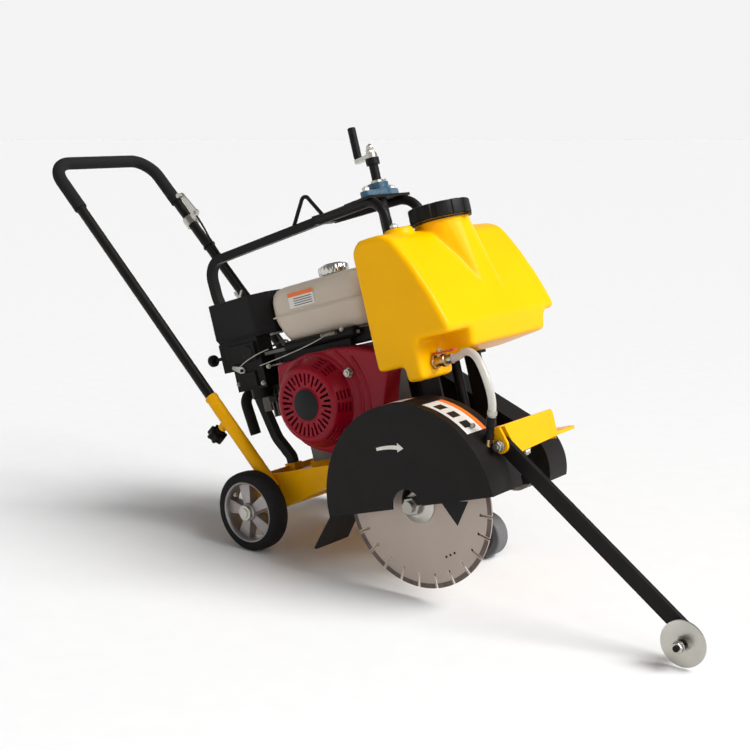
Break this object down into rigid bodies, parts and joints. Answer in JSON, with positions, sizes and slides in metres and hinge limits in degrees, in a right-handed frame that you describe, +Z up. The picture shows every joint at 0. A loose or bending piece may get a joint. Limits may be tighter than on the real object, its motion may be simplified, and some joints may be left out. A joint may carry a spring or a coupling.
{
  "type": "walk-behind concrete saw",
  "caption": "Walk-behind petrol floor saw with wet blade under a half-round guard, water tank, depth crank, folding pointer wheel and telescoping push handle.",
  "frame": {"origin": "centre of the bounding box on the ground", "axes": "+X forward, the way the saw cuts; +Y to the left; +Z up"},
  "size_m": [1.8152, 0.489, 0.9359],
  "materials": {
    "frame_yellow": "gloss",
    "tank_yellow": "gloss",
    "black_coat": "satin",
    "black_plastic": "satin",
    "foam": "matte",
    "tyre": "matte",
    "wheel_alloy": "satin",
    "zinc": "satin",
    "steel": "satin",
    "blade_steel": "satin",
    "bearing_blue": "gloss",
    "shroud_red": "gloss",
    "fuel_cream": "satin",
    "chrome": "polished",
    "engine_alloy": "satin",
    "muffler_black": "matte",
    "roller_grey": "satin",
    "brass": "satin",
    "valve_red": "satin",
    "clear_hose": "gloss",
    "belt_rubber": "matte",
    "flap_rubber": "matte"
  },
  "bodies": {
    "root": {"air_cleaner": "black_plastic", "belt_guard": "black_coat", "blade_guard": "black_coat", "carburettor": "black_plastic", "chassis_frame": "frame_yellow", "cylinder": "engine_alloy", "drive_belts": "belt_rubber", "engine_block": "engine_alloy", "engine_rails": "frame_yellow", "fan_shroud": "shroud_red", "flange_bearing": "bearing_blue", "frame_bolts": "zinc", "fuel_tank": "fuel_cream", "handle_sleeves": "frame_yellow", "hose_barb": "brass", "jack_guide": "black_coat", "lifting_eye": "black_coat", "muffler": "muffler_black", "pillow_blocks": "bearing_blue", "rear_axle": "zinc", "recoil_cover": "shroud_red", "roll_bar": "black_coat", "screw_cover": "black_coat", "splash_flap": "flap_rubber", "tank_supports": "black_coat", "water_hose": "clear_hose", "water_tank": "tank_yellow", "water_valve": "brass"},
    "rear_wheel_right": {"rear_tyre_right": "tyre", "rear_hub_right": "wheel_alloy"},
    "rear_wheel_left": {"rear_tyre_left": "tyre", "rear_hub_left": "wheel_alloy"},
    "jack": {"front_axle": "zinc", "axle_carrier": "black_coat", "jack_post": "steel"},
    "front_roller_right": {"front_wheel_right": "roller_grey"},
    "front_roller_left": {"front_wheel_left": "roller_grey"},
    "crank": {"jack_screw": "black_coat", "crank_arm": "zinc"},
    "grip": {"crank_grip": "black_plastic"},
    "handle": {"handle_frame": "black_coat", "foam_grip": "foam", "throttle_clamp": "zinc"},
    "throttle": {"throttle_lever": "zinc"},
    "knob_right": {"clamp_knob_right": "black_plastic"},
    "knob_left": {"clamp_knob_left": "black_plastic"},
    "blade_spindle": {"blade_shaft": "steel", "blade_flanges": "steel", "blade_disc": "blade_steel", "driven_pulley": "steel"},
    "crankshaft": {"engine_shaft": "steel", "drive_pulley": "steel"},
    "pointer": {"pointer_arm": "black_coat"},
    "pointer_roller": {"pointer_wheel": "zinc"},
    "water_cap": {"tank_cap": "black_plastic"},
    "petrol_cap": {"fuel_cap": "chrome"},
    "valve_handle": {"valve_lever": "valve_red"},
    "choke": {"choke_lever": "zinc"},
    "stop_button": {"stop_knob": "black_plastic"},
    "recoil": {"recoil_grip": "black_plastic"}
  },
  "joints": [
    {"name": "rear_wheel_right_spin", "type": "hinge", "parent": "root", "child": "rear_wheel_right", "pos_m": [-0.18092, -0.1905, 0.09], "axis": [0, 1, 0], "continuous": true},
    {"name": "rear_wheel_left_spin", "type": "hinge", "parent": "root", "child": "rear_wheel_left", "pos_m": [-0.18092, 0.2135, 0.09], "axis": [0, 1, 0], "continuous": true},
    {"name": "jack_lift", "type": "slide", "parent": "root", "child": "jack", "axis": [-0.2802, 0, 0.96], "range_m": [0, 0.12]},
    {"name": "front_roller_right_spin", "type": "hinge", "parent": "jack", "child": "front_roller_right", "pos_m": [0.25681, -0.0655, 0.05004], "axis": [0, 1, 0], "continuous": true},
    {"name": "front_roller_left_spin", "type": "hinge", "parent": "jack", "child": "front_roller_left", "pos_m": [0.25681, 0.0885, 0.05004], "axis": [0, 1, 0], "continuous": true},
    {"name": "crank_turn", "type": "hinge", "parent": "root", "child": "crank", "pos_m": [0.01328, 0.0115, 0.82379], "axis": [-0.2802, 0, 0.96], "range_deg": [0, 7201]},
    {"name": "grip_spin", "type": "hinge", "parent": "crank", "child": "grip", "pos_m": [-0.05514, 0.0215, 0.89758], "axis": [-0.2802, 0, 0.96], "continuous": true},
    {"name": "handle_slide", "type": "slide", "parent": "root", "child": "handle", "axis": [-0.7226, 0, 0.6913], "range_m": [-0.12, 0.05]},
    {"name": "throttle_turn", "type": "hinge", "parent": "handle", "child": "throttle", "pos_m": [-0.70579, 0.1615, 0.71341], "axis": [0, 1, 0], "range_deg": [0, 50]},
    {"name": "knob_right_turn", "type": "hinge", "parent": "root", "child": "knob_right", "pos_m": [-0.29497, -0.1495, 0.27198], "axis": [-0.6913, 0, -0.7226], "range_deg": [0, 720]},
    {"name": "knob_left_turn", "type": "hinge", "parent": "root", "child": "knob_left", "pos_m": [-0.29497, 0.1725, 0.27198], "axis": [-0.6913, 0, -0.7226], "range_deg": [0, 720]},
    {"name": "crankshaft_spin", "type": "hinge", "parent": "root", "child": "crankshaft", "pos_m": [-0.03568, 0.0315, 0.34907], "axis": [0, 1, 0], "continuous": true},
    {"name": "blade_spin", "type": "hinge", "parent": "root", "child": "blade_spindle", "pos_m": [0.28798, 0.0115, 0.19664], "axis": [0, 1, 0], "continuous": true},
    {"name": "pointer_fold", "type": "hinge", "parent": "root", "child": "pointer", "pos_m": [0.46328, -0.1685, 0.33843], "axis": [0, -1, 0], "range_deg": [0, 120]},
    {"name": "pointer_wheel_spin", "type": "hinge", "parent": "pointer", "child": "pointer_roller", "pos_m": [0.8644, -0.2045, 0.04668], "axis": [0, 1, 0], "continuous": true},
    {"name": "water_cap_turn", "type": "hinge", "parent": "root", "child": "water_cap", "pos_m": [0.18137, 0.0115, 0.75826], "axis": [-0.2802, 0, 0.96], "range_deg": [0, 540]},
    {"name": "petrol_cap_turn", "type": "hinge", "parent": "root", "child": "petrol_cap", "pos_m": [-0.09313, -0.0085, 0.62086], "axis": [-0.2802, 0, 0.96], "range_deg": [0, 90]},
    {"name": "valve_turn", "type": "hinge", "parent": "root", "child": "valve_handle", "pos_m": [0.29329, -0.1465, 0.49612], "axis": [0.2802, 0, -0.96], "range_deg": [0, 90]},
    {"name": "choke_turn", "type": "hinge", "parent": "root", "child": "choke", "pos_m": [-0.29617, -0.0955, 0.38138], "axis": [0, 1, 0], "range_deg": [0, 60]},
    {"name": "stop_press", "type": "slide", "parent": "root", "child": "stop_button", "axis": [0.96, 0, 0.2802], "range_m": [0, 0.006], "stiffness_N_per_m": 400},
    {"name": "recoil_pull", "type": "slide", "parent": "root", "child": "recoil", "axis": [-0.96, 0, -0.2802], "range_m": [0, 0.5], "stiffness_N_per_m": 25}
  ],
  "couplings": [
    {"joint": "crank_turn", "follows": "jack_lift", "rad_per_m": 1047.2},
    {"joint": "blade_spin", "follows": "crankshaft_spin", "ratio": 1.0985}
  ]
}
